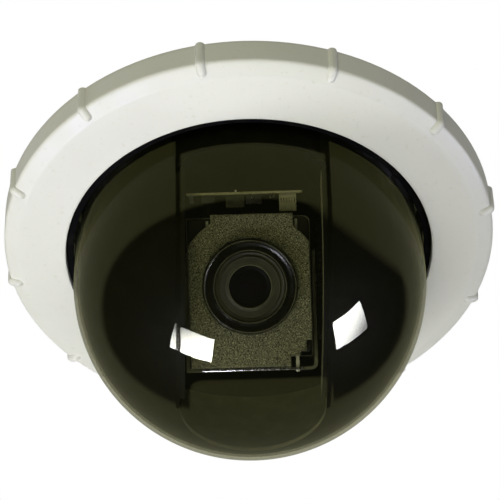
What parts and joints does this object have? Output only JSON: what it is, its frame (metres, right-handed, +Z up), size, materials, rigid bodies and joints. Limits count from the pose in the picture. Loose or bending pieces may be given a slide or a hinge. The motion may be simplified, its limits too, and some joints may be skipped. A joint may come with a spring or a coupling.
{
  "type": "ptz camera",
  "caption": "Ceiling pan-tilt-zoom camera: smoked dome in a ribbed white trim ring, slotted black liner, zoom block on a geared tilt cradle, recessed steel can.",
  "frame": {"origin": "on the pan axis, in the plane of the ceiling's underside, which is the mounting ring's top face", "axes": "+Z up into the ceiling along the pan axis, the lens looks along -Y and 46 degrees down, the tilt axis is parallel to X"},
  "size_m": [0.214, 0.214, 0.1807],
  "materials": {
    "trim_white": "satin moulded",
    "smoked_acrylic": "polished, smoke tinted",
    "black_plastic": "fine matte",
    "foam": "flocked",
    "rubber": "matte",
    "galvanised_steel": "zinc plated sheet",
    "black_steel": "black stove enamel",
    "cast_alloy": "die cast",
    "bright_steel": "bright plated",
    "brass": "machined",
    "nylon": "natural nylon",
    "moulded_plastic": "moulded",
    "circuit_board": "solder mask",
    "optical_glass": "coated"
  },
  "bodies": {
    "housing": {"mounting_ring": "cast_alloy", "back_can": "galvanised_steel", "electronics_cover": "galvanised_steel", "cable_gland": "moulded_plastic", "chassis_plate": "galvanised_steel", "pan_bearing_outer": "bright_steel", "pan_motor": "bright_steel", "main_board": "circuit_board", "network_jack": "bright_steel", "power_terminal": "moulded_plastic", "slip_ring_stator": "moulded_plastic", "can_screw_1": "bright_steel", "can_screw_2": "bright_steel", "can_screw_3": "bright_steel", "chassis_screw_1": "bright_steel", "chassis_screw_2": "bright_steel", "chassis_screw_3": "bright_steel"},
    "trim": {"trim_ring": "trim_white", "dome_bubble": "smoked_acrylic", "dome_gasket": "rubber", "dome_clamp_ring": "black_plastic", "dome_clamp_screw_1": "bright_steel", "dome_clamp_screw_2": "bright_steel", "dome_clamp_screw_3": "bright_steel"},
    "turret": {"turntable": "black_steel", "pan_hub": "cast_alloy", "pan_gear": "nylon", "pan_bearing_inner": "bright_steel", "slip_ring_rotor": "brass", "liner": "black_plastic", "yoke_left": "black_steel", "yoke_right": "black_steel", "tilt_bushing_left": "brass", "tilt_bushing_right": "brass", "tilt_motor": "bright_steel"},
    "pan_drive": {"pan_pinion": "brass"},
    "tilt_drive": {"tilt_pinion": "brass"},
    "head": {"cradle": "galvanised_steel", "tilt_shaft_left": "bright_steel", "tilt_shaft_right": "bright_steel", "tilt_gear": "black_plastic", "camera_block": "black_plastic", "rear_cover": "black_plastic", "foam_pad": "foam", "lens_barrel": "black_plastic", "lens_front_ring": "black_plastic", "front_glass": "optical_glass", "sensor_board": "circuit_board", "camera_board": "circuit_board"},
    "zoom_cell": {"zoom_group": "optical_glass"},
    "focus_cell": {"focus_group": "optical_glass"},
    "night_filter": {"ir_cut_filter": "optical_glass"},
    "clamp_turn_1": {"clamp_screw_1": "bright_steel"},
    "clamp_slide_1": {"clamp_arm_1": "cast_alloy"},
    "clamp_turn_2": {"clamp_screw_2": "bright_steel"},
    "clamp_slide_2": {"clamp_arm_2": "cast_alloy"},
    "clamp_turn_3": {"clamp_screw_3": "bright_steel"},
    "clamp_slide_3": {"clamp_arm_3": "cast_alloy"}
  },
  "joints": [
    {"name": "trim_twist", "type": "hinge", "parent": "housing", "child": "trim", "pos_m": [0, 0, -0.005], "axis": [0, 0, 1], "range_deg": [-24, 0]},
    {"name": "pan", "type": "hinge", "parent": "housing", "child": "turret", "pos_m": [0, 0, 0.02], "axis": [0, 0, 1], "continuous": true},
    {"name": "pan_pinion_spin", "type": "hinge", "parent": "housing", "child": "pan_drive", "pos_m": [0, 0.036, 0.02], "axis": [0, 0, 1], "continuous": true},
    {"name": "tilt", "type": "hinge", "parent": "turret", "child": "head", "pos_m": [0, 0, -0.0365], "axis": [1, 0, 0], "range_deg": [-46, 44]},
    {"name": "tilt_pinion_spin", "type": "hinge", "parent": "turret", "child": "tilt_drive", "pos_m": [0.03, 0, -0.0065], "axis": [1, 0, 0], "range_deg": [-180, 188]},
    {"name": "zoom_slide", "type": "slide", "parent": "head", "child": "zoom_cell", "axis": [0, -0.6947, -0.7193], "range_m": [-0.008, 0.014]},
    {"name": "focus_slide", "type": "slide", "parent": "head", "child": "focus_cell", "axis": [0, -0.6947, -0.7193], "range_m": [-0.004, 0.004]},
    {"name": "night_filter_slide", "type": "slide", "parent": "head", "child": "night_filter", "axis": [-1, 0, 0], "range_m": [0, 0.012]},
    {"name": "clamp_swing_1", "type": "hinge", "parent": "housing", "child": "clamp_turn_1", "pos_m": [0, 0.0855, 0.01], "axis": [0, 0, 1], "range_deg": [-90, 0]},
    {"name": "clamp_draw_1", "type": "slide", "parent": "clamp_turn_1", "child": "clamp_slide_1", "axis": [0, 0, 1], "range_m": [-0.007, 0.01]},
    {"name": "clamp_swing_2", "type": "hinge", "parent": "housing", "child": "clamp_turn_2", "pos_m": [-0.07405, -0.04275, 0.01], "axis": [0, 0, 1], "range_deg": [-90, 0]},
    {"name": "clamp_draw_2", "type": "slide", "parent": "clamp_turn_2", "child": "clamp_slide_2", "axis": [0, 0, 1], "range_m": [-0.007, 0.01]},
    {"name": "clamp_swing_3", "type": "hinge", "parent": "housing", "child": "clamp_turn_3", "pos_m": [0.07405, -0.04275, 0.01], "axis": [0, 0, 1], "range_deg": [-90, 0]},
    {"name": "clamp_draw_3", "type": "slide", "parent": "clamp_turn_3", "child": "clamp_slide_3", "axis": [0, 0, 1], "range_m": [-0.007, 0.01]}
  ],
  "couplings": [
    {"joint": "pan_pinion_spin", "follows": "pan", "ratio": -5},
    {"joint": "tilt_pinion_spin", "follows": "tilt", "ratio": -4}
  ]
}
